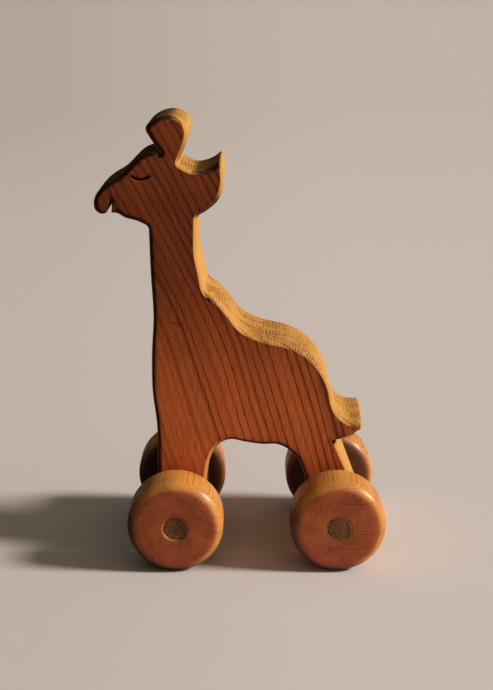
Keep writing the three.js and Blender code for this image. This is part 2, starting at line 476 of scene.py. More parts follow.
@dataclass(frozen=True)
class TurnedFinish:
    """Turned and varnished wood whose fibres run along y of the timber attribute.

    The rings lie round a heart that is heart_mm away along x.
    """

    name: str
    light: Colour
    dark: Colour
    face_light: Colour
    face_dark: Colour
    ring_mm: float
    heart_mm: float
    line_share: float
    ray_share: float
    roughness: float
    coat: float = 0.0
    bump_mm: float = 0.06
    # Dark colour for the grime and for the painted shade that the stain mask carries.
    grimed_and_shaded: Colour = (0.03, 0.015, 0.008)
    wander_per_mm: tuple[float, float, float] = (0.09, 0.02, 0.05)
    wander_rings: float = 2.5
    clouds_per_mm: tuple[float, float, float] = (0.11, 0.05, 0.11)
    ray_pitch: float = 0.98
    fineness: float = 1.2

    def build(self, groups: TimberGroups) -> bpy.types.Material:
        """Builds the material.

        Args:
            groups: The shared timber effects.

        Returns:
            The material of a turned piece.
        """
        material, sketch, shader = new_material(self.name)
        timber = sketch.attribute("timber").outputs["Vector"]
        facing = sketch.attribute("end_grain_and_shade").outputs["Fac"]
        dirt_and_shade = sketch.attribute("stain_and_shade").outputs["Fac"]
        x, y, z = sketch.split(timber)
        from_heart = sketch.math("SUBTRACT", x, self.heart_mm)
        reach = sketch.math("SQRT", sketch.times_plus(z, z, sketch.times(from_heart, from_heart)))
        wander = sketch.times(sketch.noise(sketch.vector(
            "MULTIPLY", timber, self.wander_per_mm)), self.wander_rings)
        ring = sketch.math("ADD", wander, sketch.math("DIVIDE", reach, self.ring_mm))
        rings = sketch.group(groups.rings, {"Ring": ring, "Unevenness": 0.7})
        fibre = sketch.group(groups.fibres, {
            "Position": sketch.join(x, z, y), "Fineness": self.fineness})
        rays = sketch.group(groups.cuts, {"Along": z, "Across": x, "Pitch": self.ray_pitch})
        clouds = sketch.ramp(sketch.noise(sketch.vector(
            "MULTIPLY", timber, self.clouds_per_mm), 3.0), 0.35, 0.68)

        dark = sketch.layers(sketch.times(rings["Lines"], self.line_share), (
            (sketch.times(rays["Marks"], rays["Patches"]), sketch.times(facing, self.ray_share)),
            (clouds, 0.30), (fibre["Fibres"], 0.16), (fibre["Pores"], 0.25)), clamp=True)
        colour = sketch.mix(dark, self.light, self.dark)
        # The end-grain mask also carries painted shade on the lower front of a wheel's rim, which
        # takes the face colours here.
        colour = sketch.mix(facing, colour, sketch.mix(dark, self.face_light, self.face_dark))
        # The stain mask darkens with grime round the hub and on the dowel's ends, and with painted
        # shade on the lower rim and the inner face.
        sketch.put(shader.inputs["Base Color"], sketch.mix(dirt_and_shade, colour, self.grimed_and_shaded))
        sketch.put(shader.inputs["Roughness"], sketch.times_plus(dark, 0.16, self.roughness))
        sketch.put(shader.inputs["Coat Weight"],
                   sketch.times_plus(facing, -0.9 * self.coat, self.coat))
        shader.inputs["Coat Roughness"].default_value = 0.26
        shader.inputs["Specular IOR Level"].default_value = 0.34
        height = sketch.layers(1.0, (
            (rings["Lines"], -0.5), (sketch.times(rays["Marks"], facing), -0.4),
            (fibre["Pores"], -0.4)))
        add_bump(sketch, shader, height, self.bump_mm)
        return material


@dataclass(frozen=True)
class BackdropFinish:
    """Pale paper sweep with painted shade: a little darker away from the lamp and into the
    distance.

    On the giraffe's face side it throws little light back, as beside a black card. Turns hold
    the two places in metres, or slopes, between which one colour gives way to the next. The
    floor's far end lies round a point that is eye_distance in front of the toy.
    """

    name: str = "paper"
    held_back: Colour = (0.16, 0.125, 0.10)
    near: Colour = (0.768, 0.682, 0.640)
    far: Colour = (0.72, 0.632, 0.575)
    shade_side: Colour = (0.60, 0.515, 0.455)
    speckle: Colour = (0.5, 0.42, 0.36)
    eye_distance: float = 0.53
    far_turn: tuple[float, float] = (0.63, 3.0)
    side_turn: tuple[float, float] = (0.10, -0.24)
    held_back_turn: tuple[float, float] = (0.02, -0.14)
    grain_per_metre: float = 900.0

    def build(self) -> bpy.types.Material:
        """Builds the material of the floor."""
        material, sketch, shader = new_material(self.name)
        place = sketch.add("ShaderNodeTexCoord").outputs["Object"]
        x, y, _ = sketch.split(place)
        behind = sketch.math("ADD", y, self.eye_distance)
        reach = sketch.math("SQRT", sketch.times_plus(x, x, sketch.times(behind, behind)))
        distance = sketch.ramp(reach, *self.far_turn)
        side = sketch.times(sketch.ramp(sketch.math("DIVIDE", x, reach), *self.side_turn),
                            sketch.times_plus(distance, 0.65, 0.35))
        grain = sketch.noise(sketch.vector("SCALE", place, scale=self.grain_per_metre), 3.0, 0.7)
        bounced = sketch.math("SUBTRACT", 1.0, sketch.add("ShaderNodeLightPath").outputs[0])
        # Painted shade: the floor darkens into the distance, and more on the side away from the
        # lamp.
        colour = sketch.mix(distance, self.near, self.far)
        colour = sketch.mix(side, colour, self.shade_side)
        colour = sketch.mix(sketch.ramp(grain, 0.3, 0.7, 0.0, 0.06), colour, self.speckle)
        held_back = sketch.times(bounced, sketch.ramp(x, *self.held_back_turn))
        sketch.put(shader.inputs["Base Color"], sketch.mix(held_back, colour, self.held_back))
        sketch.put(shader.inputs["Roughness"], sketch.times_plus(grain, 0.1, 0.85))
        shader.inputs["Specular IOR Level"].default_value = 0.0
        add_bump(sketch, shader, grain, 0.05)
        return material


# ---- meshes ---------------------------------------------------------------------------------


def finish_mesh(name: str, points: np.ndarray, faces: list, material: bpy.types.Material,
                attributes: dict[str, np.ndarray]) -> bpy.types.Object:
    """Makes one smooth-shaded object from millimetre points.

    Args:
        name: Name of the piece.
        points: Vertices in millimetres, one row each.
        faces: Vertex indices of each face.
        material: Finish of the piece.
        attributes: Values for each vertex by attribute name: one number, or three in a row.

    Returns:
        The object, linked to the scene.
    """
    mesh = bpy.data.meshes.new(name)
    mesh.from_pydata((points * MM).tolist(), [], faces)
    mesh.validate()
    for key, values in attributes.items():
        kind, slot = ("FLOAT", "value") if values.ndim == 1 else ("FLOAT_VECTOR", "vector")
        layer = mesh.attributes.new(key, kind, "POINT")
        layer.data.foreach_set(slot, values.astype(np.float32).ravel())
    mesh.polygons.foreach_set("use_smooth", [True] * len(mesh.polygons))
    mesh.materials.append(material)
    piece = bpy.data.objects.new(name, mesh)
    bpy.context.scene.collection.objects.link(piece)
    return piece


def face_loops(node: str, side: Side) -> list[np.ndarray]:
    """Reads the closed outlines of one flat side of a CAD node.

    Args:
        node: Name of the CAD node.
        side: Which of its two sides to read.

    Returns:
        Loops of x and z in millimetres, the longest first.
    """
    flatness = 0.002
    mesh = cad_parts[node].data
    points = np.array([vertex.co for vertex in mesh.vertices]) / MM
    keys = {}
    merged = [keys.setdefault(tuple(np.round(point, 3)), len(keys)) for point in points]
    places = np.array(list(keys))
    plane = places[:, 1].min() if side is Side.LEFT else places[:, 1].max()
    onward = {}
    for polygon in mesh.polygons:
        corners = [merged[index] for index in polygon.vertices]
        if max(abs(places[corner, 1] - plane) for corner in corners) > flatness:
            continue
        for first, second in zip(corners, corners[1:] + corners[:1]):
            if onward.get(second) and first in onward[second]:
                onward[second].remove(first)
            else:
                onward.setdefault(first, set()).add(second)
    loops = []
    while any(onward.values()):
        start = next(corner for corner, nexts in onward.items() if nexts)
        loop, corner = [start], onward[start].pop()
        while corner != start:
            loop.append(corner)
            corner = onward[corner].pop()
        loops.append(places[loop][:, [0, 2]])
    return sorted(loops, key=lambda loop: -len(loop) * np.ptp(loop[:, 1]))


def turning(loop: np.ndarray) -> np.ndarray:
    """Returns the angle in degrees by which a closed outline turns at each of its points."""
    ahead = np.roll(loop, -1, 0) - loop
    behind = loop - np.roll(loop, 1, 0)
    cross = behind[:, 0] * ahead[:, 1] - behind[:, 1] * ahead[:, 0]
    return np.degrees(np.arctan2(cross, (behind * ahead).sum(1)))


def smooth_section(points: np.ndarray, spacing: float) -> np.ndarray:
    """Runs a smooth curve through a stretch of outline and marks it off evenly.

    Args:
        points: The stretch's points, its ends included.
        spacing: Wanted distance between the new points, in millimetres.

    Returns:
        New points from the first one up to, but without, the last.
    """
    if len(points) > 2:
        before = 2 * points[0] - points[1]
        after = 2 * points[-1] - points[-2]
        line = np.vstack([before, points, after])
        dense = []
        for index in range(1, len(line) - 2):
            p0, p1, p2, p3 = line[index - 1:index + 3]
            gaps = [max(np.linalg.norm(b - a), 1e-6) ** 0.5
                    for a, b in ((p0, p1), (p1, p2), (p2, p3))]
            t1, t2, t3 = np.cumsum(gaps)
            for t in np.linspace(t1, t2, 8, endpoint=False):
                a1 = p0 + (p1 - p0) * t / t1
                a2 = p1 + (p2 - p1) * (t - t1) / (t2 - t1)
                a3 = p2 + (p3 - p2) * (t - t2) / (t3 - t2)
                b1 = a1 + (a2 - a1) * t / t2
                b2 = a2 + (a3 - a2) * (t - t1) / (t3 - t1)
                dense.append(b1 + (b2 - b1) * (t - t1) / (t2 - t1))
        points = np.vstack([dense, points[-1]])
    lengths = np.concatenate([[0], np.cumsum(np.linalg.norm(np.diff(points, axis=0), axis=1))])
    count = max(1, round(lengths[-1] / spacing))
    marks = np.linspace(0, lengths[-1], count, endpoint=False)
    return np.column_stack([np.interp(marks, lengths, points[:, axis]) for axis in (0, 1)])


def near_outline(points: np.ndarray, outline: np.ndarray) -> tuple[np.ndarray, np.ndarray]:
    """Finds how far points lie from a closed outline.

    Args:
        points: Points as x and z.
        outline: The outline's points in order.

    Returns:
        The distance of each point, and the index of the outline point that begins its
        nearest stretch or ends it, whichever is nearer.
    """
    batch = 800
    step = np.roll(outline, -1, 0) - outline
    squared = (step ** 2).sum(1)
    distances, nearest = [], []
    for start in range(0, len(points), batch):
        some = points[start:start + batch, None, :]
        share = np.clip(((some - outline) * step).sum(2) / squared, 0, 1)
        gap = np.linalg.norm(outline + share[..., None] * step - some, axis=2)
        best = gap.argmin(1)
        rows = np.arange(len(best))
        distances.append(gap[rows, best])
        nearest.append((best + (share[rows, best] > 0.5)) % len(outline))
    return np.concatenate(distances), np.concatenate(nearest)


def smooth_step(value: np.ndarray, start: float, stop: float) -> np.ndarray:
    """Returns 0 before start, 1 after stop, with a smooth rise between them."""
    share = np.clip((value - start) / (stop - start), 0, 1)
    return share * share * (3 - 2 * share)


@dataclass(frozen=True)
class EasedSpot:
    """A stretch of the plank's edge that was sanded rounder, or left sharper, than the rest."""

    x: float
    z: float
    reach: float
    radius: float
    sides: tuple[Side, ...] = (Side.LEFT, Side.RIGHT)
    spot_darkening: float = 0.0


@dataclass(frozen=True)
class Carving:
    """A groove, crack or bruise in a flat side.

    Its points are x and z: two ends, or two ends and the point that bends the line between
    them. The taper tells how much narrower and shallower the ends are than the middle.
    """

    points: tuple[tuple[float, float], ...]
    half_width: float
    depth: float
    stain_and_shade: float
    taper: float = 0.5
    sides: tuple[Side, ...] = (Side.LEFT, Side.RIGHT)

    def route(self) -> np.ndarray:
        """Returns dense points along the groove."""
        points = np.array(self.points, float)
        share = np.linspace(0, 1, 41)[:, None]
        if len(points) == 3:
            first, middle, last = points
            return (1 - share) ** 2 * first + 2 * share * (1 - share) * middle + share ** 2 * last
        return points[0] + share * (points[-1] - points[0])

    def cover(self) -> np.ndarray:
        """Returns points spread over the groove, so that the mesh can follow its shape."""
        route = self.route()
        steps = np.gradient(route, axis=0)
        sideways = np.column_stack([-steps[:, 1], steps[:, 0]])
        sideways /= np.linalg.norm(sideways, axis=1)[:, None]
        shares = (-1.6, -1.0, -0.62, -0.3, 0, 0.3, 0.62, 1.0, 1.6)
        return np.vstack([route + sideways * (share * self.half_width) for share in shares])

    def measure(self, points: np.ndarray) -> tuple[np.ndarray, np.ndarray]:
        """Returns the depth and the stain that the groove gives to each point."""
        wall_power, stain_gain = 0.7, 1.6
        route = self.route()
        gaps = np.linalg.norm(points[:, None, :] - route, axis=2)
        nearest = gaps.argmin(1)
        along = nearest / (len(route) - 1)
        fullness = 1 - self.taper * np.abs(2 * along - 1) ** 2
        inside = np.clip(1 - (gaps.min(1) / (self.half_width * fullness)) ** 2, 0, 1)
        stain_and_shade = np.clip(self.stain_and_shade * stain_gain * inside, 0, 1)
        return self.depth * fullness * inside ** wall_power, stain_and_shade


@dataclass
class GiraffeBody:
    """The sawn plank: flat sides, eased edges, sawn walls, bores, closed eyes and torn tail.

    A turn holds the two places, or directions, between which something begins to show.
    """

    node: str = "giraffe_body"
    body: str = "giraffe"
    slot: str = "plank"
    spacing: float = 0.8
    easing: float = 1.6
    crown_easing: float = 2.0
    easing_power: float = 1.25
    easing_steps: int = 9
    columns: int = 36
    corner_degrees: float = 50.0
    grid: float = 2.2
    bore_steps: int = 48
    fan_degrees: float = 25.0
    crown_turn: tuple[float, float] = (150.0, 156.0)
    ear_turn: tuple[float, float] = (25.0, 29.0)
    neck_turn: tuple[float, float] = (100.0, 128.0)
    thirst_turn: tuple[float, float] = (120.0, 150.0)
    rump_turn: tuple[float, float] = (43.0, 50.0)
    fibre_facing: tuple[float, float] = (0.62, 0.96)
    tear_turn: tuple[float, float] = (51.3, 53.2)
    tear_heights: tuple[float, float] = (55.0, 66.0)
    tear_depth: float = 1.2
    tail_heights: tuple[float, float] = (56.0, 63.0)
    tail_tip_z: float = 61.4
    least_bore: float = 5.0
    bore_gap: float = 0.4
    field_gap: float = 1.0
    carving_gap: float = 0.12
    rim_turn: tuple[float, float] = (0.4, 3.4)
    spots: tuple[EasedSpot, ...] = (
        EasedSpot(-55.5, 158.4, 3.4, 0.35, spot_darkening=3.2),
        EasedSpot(40.2, 53.2, 1.8, 0.30, spot_darkening=1.15),
        EasedSpot(53.4, 60.2, 2.4, 0.45),
        EasedSpot(-39.2, 191.5, 6.5, 2.4, (Side.LEFT,)),
        EasedSpot(-62.0, 157.5, 5.5, 1.9),
        EasedSpot(-9.3, 177.0, 3.0, 1.0),
    )
    outline: np.ndarray = field(init=False)
    along: np.ndarray = field(init=False)
    inward: np.ndarray = field(init=False)

    def __post_init__(self) -> None:
        """Reads the outline, the bores and the eye from the CAD node."""
        low, high = (np.array(corner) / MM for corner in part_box(self.node))
        self.half = (high[1] - low[1]) / 2
        loops = face_loops(self.node, Side.LEFT)
        self.outline = self.smooth_outline(loops[0])
        after = np.roll(self.outline, -1, 0) - self.outline
        lengths = np.linalg.norm(after, axis=1)
        self.along = np.concatenate([[0], np.cumsum(lengths)[:-1]])
        unit = after / lengths[:, None]
        mean = unit + np.roll(unit, 1, 0)
        mean /= np.linalg.norm(mean, axis=1)[:, None]
        self.inward = np.column_stack([-mean[:, 1], mean[:, 0]])
        self.bores = [(loop.min(0) + loop.max(0)) / 2 for loop in loops[1:]
                      if np.ptp(loop[:, 1]) > self.least_bore]
        self.bore_radius = np.ptp(loops[1][:, 0]) / 2
        eye = loops[-1]
        self.carvings = self.list_carvings(eye.min(0), eye.max(0))

    def list_carvings(self, low: np.ndarray, high: np.ndarray) -> list[Carving]:
        """Lists what is cut or bruised into the flat sides.

        Args:
            low: Lowest x and z of the eye.
            high: Highest x and z of the eye.

        Returns:
            The carvings, the eye first.
        """
        inset = 0.5
        corner_z = high[1] - inset
        middle = ((low[0] + high[0]) / 2, 2 * (low[1] + inset) - corner_z)
        left = (Side.LEFT,)
        eye = ((low[0] + inset, corner_z), middle, (high[0] - inset, corner_z))
        return [
            Carving(eye, 0.70, 0.90, 1.8, taper=0.25),
            Carving(((-55.3, 160.4), (-55.9, 162.2), (-55.6, 164.6)), 0.16, 0.45, 0.75),
            Carving(((-15.6, 118.6), (-14.8, 118.2), (-14.0, 117.0)), 0.75, 0.35, 0.7, sides=left),
            Carving(((-28.6, 107.6), (-27.2, 105.9), (-26.3, 108.2)), 0.40, 0.10, 0.38, sides=left),
            Carving(((-30.6, 107.9), (-30.0, 107.2), (-29.3, 107.6)), 0.40, 0.10, 0.35, sides=left),
        ]

    def smooth_outline(self, loop: np.ndarray) -> np.ndarray:
        """Turns the faceted outline into an even, smooth one that keeps its corners.

        Args:
            loop: The CAD outline.

        Returns:
            Evenly spaced points in the same order.
        """
        foot_x, sharp_radius, soften_reach, soften_rounds = -27.0, 0.4, 1.3, 4
        corners = np.flatnonzero(np.abs(turning(loop)) > self.corner_degrees)
        lowest = int(np.argmin(loop[:, 1] + 0.01 * np.abs(loop[:, 0] - foot_x)))
        loop = np.roll(loop, -lowest, 0)
        corners = sorted({int((corner - lowest) % len(loop)) for corner in corners} | {0})
        closed = np.vstack([loop, loop[:1]])
        stops = corners + [len(loop)]
        outline = np.vstack([smooth_section(closed[a:b + 1], self.spacing)
                             for a, b in zip(stops, stops[1:])])
        sharp = [spot for spot in self.spots if spot.radius < sharp_radius]
        softened = [place for place in loop[corners[1:]] if not any(
            math.hypot(place[0] - spot.x, place[1] - spot.z) < spot.reach for spot in sharp)]
        for _ in range(soften_rounds):
            for place in softened:
                close = np.linalg.norm(outline - place, axis=1) < soften_reach
                softer = (np.roll(outline, 1, 0) + np.roll(outline, -1, 0)) / 2
                outline[close] = 0.5 * outline[close] + 0.5 * softer[close]
        return outline

    def closeness(self, spot: EasedSpot, reach: float) -> np.ndarray:
        """Returns 1 at the outline points near a spot, and 0 from the reach on."""
        gap = np.linalg.norm(self.outline - (spot.x, spot.z), axis=1)
        return 1 - smooth_step(gap, 0.55 * reach, reach)

    def radii(self, side: Side) -> np.ndarray:
        """Returns the edge radius at each outline point on one side."""
        crown = smooth_step(self.outline[:, 1], *self.crown_turn)
        crown *= smooth_step(-self.lit(), -0.3, 0.1)
        radius = self.easing + (self.crown_easing - self.easing) * crown
        for spot in self.spots:
            if side in spot.sides:
                radius += (spot.radius - radius) * self.closeness(spot, spot.reach)
        return radius

    def lit(self) -> np.ndarray:
        """Returns how far each outline point looks to the back and up, from about -1 to 1."""
        upward_share, crown_loss = 0.35, 0.25
        outward_x, outward_z = -self.inward.T
        x, z = self.outline.T
        crown = smooth_step(z, *self.crown_turn) * smooth_step(-x, *self.ear_turn)
        return outward_x + upward_share * outward_z * (1 - crown) - crown_loss * crown

    def darkened_spots(self) -> np.ndarray:
        """Returns how much darker each outline point is made, most near the mouth's slot and the
        corner under the tail, where the saw turned.
        """
        burn = np.zeros(len(self.outline))
        for spot in self.spots:
            if spot.spot_darkening:
                burn = np.maximum(burn, self.closeness(spot, spot.spot_darkening))
        return burn

    def soaking(self) -> np.ndarray:
        """Returns how much oil the end grain took in at each outline point."""
        body_thirst, head_thirst, tail_thirst, tail_top = 0.12, 0.86, 0.12, 70.0
        x, z = self.outline.T
        lean = RING_LEAN + NECK_LEAN * smooth_step(z, *self.neck_turn)
        fibre = np.column_stack([-lean, np.ones(len(z))])
        fibre /= np.linalg.norm(fibre, axis=1)[:, None]
        facing = np.abs((self.inward * fibre).sum(1))
        thirst = body_thirst + head_thirst * smooth_step(z, *self.thirst_turn)
        thirst += tail_thirst * smooth_step(x, *self.rump_turn) * (z < tail_top)
        return smooth_step(facing, *self.fibre_facing) * thirst

    def face_points(self) -> tuple[np.ndarray, int]:
        """Lays out the points of a flat side, seen from the side.

        Returns:
            The outline, the bores' circles, the easing's rings, the carvings and the field,
            and how many of them the outline has.
        """
        edge = len(self.outline)
        radius = np.maximum(self.radii(Side.LEFT), self.radii(Side.RIGHT))
        inner = self.easing_rings(radius)
        low, high = self.outline.min(0), self.outline.max(0)
        xs = np.arange(low[0], high[0], self.grid)
        zs = np.arange(low[1], high[1], self.grid)
        field_points = np.array([(x + 0.5 * self.grid * (row % 2), z)
                                 for row, z in enumerate(zs) for x in xs])
        gap, near = near_outline(field_points, self.outline)
        clear = gap > radius[near] + self.field_gap
        inner.append(field_points[self.inside(field_points) & clear])
        for carving in self.carvings:
            cover = carving.cover()
            gap, _ = near_outline(cover, self.outline)
            inner.append(cover[self.inside(cover) & (gap > self.carving_gap)])
        circles = [self.bore_circle(middle) for middle in self.bores]
        points = np.vstack(inner)
        for middle in self.bores:
            clear = np.linalg.norm(points - middle, axis=1) > self.bore_radius + self.bore_gap
            points = points[clear]
        return np.vstack([self.outline, *circles, points]), edge

    def easing_rings(self, radius: np.ndarray) -> list[np.ndarray]:
        """Lays rings of points inside the outline that follow the rounding of its edge.

        Args:
            radius: The edge radius at each outline point.

        Returns:
            Groups of points, with fans where the outline turns a hollow corner.
        """
        fan_points, fan_spread, slack, flat_inset = 5, 0.4, 0.04, 0.5
        bends = turning(self.outline)
        groups = []
        for step in range(1, self.easing_steps + 2):
            turn = min(step / self.easing_steps, 1.0) * math.pi / 2
            depth = radius * (1 - math.cos(turn))
            depth = depth + (flat_inset if step > self.easing_steps else 0.0)
            fan = []
            for index in np.flatnonzero(bends < -self.fan_degrees):
                swings = np.linspace(fan_spread, -fan_spread, fan_points) * bends[index]
                for swing in np.radians(swings):
                    x, z = self.inward[index]
                    turned = (x * math.cos(swing) - z * math.sin(swing),
                              x * math.sin(swing) + z * math.cos(swing))
                    fan.append(self.outline[index] + np.array(turned) * depth[index])
            ring = self.outline + self.inward * depth[:, None]
            for group, depths in ((ring, depth), (np.array(fan), None)):
                if len(group):
                    gap, near = near_outline(group, self.outline)
                    wanted = depth[near] if depths is None else depths
                    groups.append(group[gap > wanted - slack])
        return groups

    def bore_circle(self, middle: np.ndarray) -> np.ndarray:
        """Returns the points of one bore's rim."""
        turn = np.linspace(0, math.tau, self.bore_steps, endpoint=False)
        return middle + self.bore_radius * np.column_stack([np.cos(turn), np.sin(turn)])

    def inside(self, points: np.ndarray) -> np.ndarray:
        """Tells which points lie inside the outline."""
        x, z = points[:, :1], points[:, 1:]
        ax, az = self.outline.T
        bx, bz = np.roll(self.outline, -1, 0).T
        crossing = (az > z) != (bz > z)
        slope = (bx - ax) / np.where(bz == az, 1e-9, bz - az)
        return (crossing & (x < ax + slope * (z - az))).sum(1) % 2 == 1

    def triangulate(self, points: np.ndarray, edge: int) -> list[tuple[int, int, int]]:
        """Joins the points of a flat side into triangles that face the left.

        Args:
            points: Points as x and z, the outline first and then the bores' circles.
            edge: How many points the outline has.

        Returns:
            Triangles between the same points.
        """
        rings = [(0, edge)]
        for index in range(len(self.bores)):
            start = edge + index * self.bore_steps
            rings.append((start, start + self.bore_steps))
        links = [(a, a + 1 if a + 1 < stop else start) for start, stop in rings
                 for a in range(start, stop)]
        _, _, triangles, origins, _, _ = geometry.delaunay_2d_cdt(
            [Vector(point) for point in points], links, [], 1, 1e-5, True)
        source = [origin[0] if origin else -1 for origin in origins]
        if -1 in source:
            LOG.warning("the plank's flat side gained %d crossing points", source.count(-1))
        corners = np.array([[source[index] for index in triangle] for triangle in triangles])
        centres = points[corners].mean(1)
        wanted = self.inside(centres)
        for middle in self.bores:
            wanted &= np.linalg.norm(centres - middle, axis=1) > self.bore_radius
        return [tuple(triangle) for triangle in corners[wanted].tolist()]

    def tail_shift(self, points: np.ndarray) -> np.ndarray:
        """Returns how far the torn tail reaches past its left corner, by each point's y."""
        tip_reach, tip_slack, lowest, highest = 1.2, 0.5, 50.0, 66.0
        pull_start, pull_stop = 3.6, 0.4
        corners = np.array([v.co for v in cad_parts[self.node].data.vertices]) / MM
        low, high = self.tail_heights
        end_x = self.outline[(self.outline[:, 1] > low) & (self.outline[:, 1] < high), 0].max()
        at_tip = np.abs(corners[:, 2] - self.tail_tip_z) < tip_slack
        tip = corners[(corners[:, 0] > end_x - tip_reach) & at_tip]
        ends = {}
        for x, y, _ in tip:
            ends[round(y, 2)] = max(x, ends.get(round(y, 2), 0))
        rows = sorted(ends)
        shift = np.interp(points[:, 1], rows, [ends[row] for row in rows]) - end_x
        pull = smooth_step(points[:, 0], end_x - pull_start, end_x - pull_stop)
        return shift * pull * (points[:, 2] > lowest) * (points[:, 2] < highest)

    def torn_depth(self, points: np.ndarray) -> np.ndarray:
        """Returns how deep the broken fibres of the tail's end lie at each point.

        A broad wave that wanders with height and a fine slanting one make the notches.
        """
        x, y, z = points.T
        low, high = self.tear_heights
        at_end = smooth_step(x, *self.tear_turn) * (z > low) * (z < high)
        notches = np.sin(0.95 * y + 1.1 * np.sin(1.7 * z)) + 0.4 * np.sin(2.6 * y - 1.9 * z + 0.6)
        return self.tear_depth * at_end * np.clip(notches, 0, 1)

    def flat_layer(self, side: Side, flat: np.ndarray, gap: np.ndarray,
                   near: np.ndarray) -> dict[str, np.ndarray]:
        """Shapes one flat side with its eased edge and its carvings.

        Args:
            side: Which side.
            flat: The side's points as x and z.
            gap: How far each of them lies from the outline.
            near: The outline point nearest to each of them.

        Returns:
            The points under "place", and the masks of the finish by their names.
        """
        sharpness, spot_darkening_width = 0.14, 0.25
        spot_darkening = self.darkened_spots()[near]
        # Painted shade: eased edges that face away from the lamp, and the darkened spots, keep the
        # face colour further in and darken in a band.
        shade_and_spots = np.maximum(1 - smooth_step(self.lit()[near], -0.25, 0.12), spot_darkening)
        radius = self.radii(side)[near]
        share = np.clip(np.clip(radius - gap, 0, None) / radius, 0, 1)
        sink = radius * (1 - (1 - share ** self.easing_power) ** (1 / self.easing_power))
        mark = np.zeros(len(flat))
        for carving in self.carvings:
            if side in carving.sides:
                depth, dark = carving.measure(flat)
                sink += depth
                mark = np.maximum(mark, dark)
        begin = 0.02 + 0.5 * shade_and_spots
        band = smooth_step(share, 0.0, 0.25) * (1 - smooth_step(share, 0.75, 0.98))
        return {
            "place": np.column_stack([flat[:, 0], side.value * (self.half - sink), flat[:, 1]]),
            "sawn": smooth_step((share - begin) / sharpness, 0.0, 1.0),
            "edge_shade": band * shade_and_spots,
            "stain_and_shade": np.maximum(mark, spot_darkening * (gap < spot_darkening_width)),
        }

    def wall_layer(self, share: float) -> dict[str, np.ndarray]:
        """Shapes one row of the sawn wall, with the ripple that the blade left.

        The ripple is the sum of a short, a long and a fine wave, and fades towards the edges.

        Args:
            share: How far the row lies from the left side towards the right one.

        Returns:
            The points under "place", and the masks of the finish by their names.
        """
        left, right = -self.half + self.radii(Side.LEFT), self.half - self.radii(Side.RIGHT)
        y = left + (right - left) * share
        fade = min(1.0, 4 * share, 4 * (1 - share))
        ripple = (0.05 * np.sin(self.along / 0.83 + 1.3 * np.sin(y / 5.1))
                  + 0.07 * np.sin(self.along / 3.1 + y / 9.0)
                  + 0.03 * np.sin(self.along / 0.47 - y / 3.3))
        wall = self.outline + self.inward * (fade * ripple)[:, None]
        return {
            "place": np.column_stack([wall[:, 0], y, wall[:, 1]]),
            "sawn": np.ones(len(wall)), "edge_shade": np.zeros(len(wall)), "stain_and_shade": self.darkened_spots(),
        }

    def skin_faces(self, triangles: list[tuple[int, int, int]], count: int) -> list:
        """Lists the faces of both flat sides, of the wall between them and of the bores.

        Args:
            triangles: The triangles of one flat side.
            count: How many points a flat side has.

        Returns:
            The vertex indices of each face, which all point outwards.
        """
        faces = list(triangles)
        faces += [tuple(count + corner for corner in reversed(triangle))
                  for triangle in triangles]
        edge = len(self.outline)
        starts = [0] + [2 * count + row * edge for row in range(self.columns - 1)] + [count]
        for near_line, far_line in zip(starts, starts[1:]):
            for a in range(edge):
                b = (a + 1) % edge
                faces.append((far_line + a, far_line + b, near_line + b, near_line + a))
        for index in range(len(self.bores)):
            start = edge + index * self.bore_steps
            for step in range(self.bore_steps):
                a, b = start + step, start + (step + 1) % self.bore_steps
                faces.append((a, b, b + count, a + count))
        return faces

    def build(self, material: bpy.types.Material) -> bpy.types.Object:
        """Builds the plank.

        Args:
            material: The plank's finish.

        Returns:
            The finished piece, riding on its body.
        """
        fibre_way, torn_shade = 0.985, 0.6
        flat, edge = self.face_points()
        gap, near = near_outline(flat, self.outline)
        gap[:edge] = 0
        near[:edge] = np.arange(edge)
        shares = np.arange(1, self.columns) / self.columns
        layers = [self.flat_layer(side, flat, gap, near) for side in Side]
        layers += [self.wall_layer(share) for share in shares]
        skin = {name: np.concatenate([layer[name] for layer in layers]) for name in layers[0]}

        def spread(values: np.ndarray) -> np.ndarray:
            """Gives every point of the skin its outline point's value."""
            return np.concatenate([values[near], values[near]] + [values] * len(shares))

        place = skin.pop("place")
        place[:, 0] += self.tail_shift(place)
        torn = self.torn_depth(place)
        place[:, 0] -= torn
        rim = 1 - smooth_step(gap, *self.rim_turn)
        # Painted shade in the torn notches of the tail's end, darker where they are deeper.
        skin["stain_and_shade"] = np.clip(skin["stain_and_shade"] + torn_shade * torn, 0, 1)
        skin["along"] = spread(self.along)
        skin["end_grain_and_shade"] = smooth_step(spread(np.abs(self.inward[:, 1]) * fibre_way), 0.25, 0.8)
        skin["oiled"] = spread(self.soaking())
        skin["rim"] = np.concatenate([rim, rim, np.ones(edge * len(shares))])
        faces = self.skin_faces(self.triangulate(flat, edge), len(flat))
        piece = finish_mesh("sawn_" + self.node, place, faces, material, skin)
        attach(piece, self.body)
        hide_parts(self.node)
        return piece


# ---- turned pieces --------------------------------------------------------------------------

GEOMETRY = "NodeSocketGeometry"
MATERIAL = "NodeSocketMaterial"


def store(sketch: Sketch, mesh: Socket, name: str, kind: str, value: object) -> Socket:
    """Stores a named attribute on a mesh inside a geometry tree and returns the mesh."""
    node = sketch.add("GeometryNodeStoreNamedAttribute", {"Geometry": mesh, "Name": name},
                      data_type=kind, domain="POINT")
    sketch.put(node.inputs["Value"], value)
    return node.outputs[0]


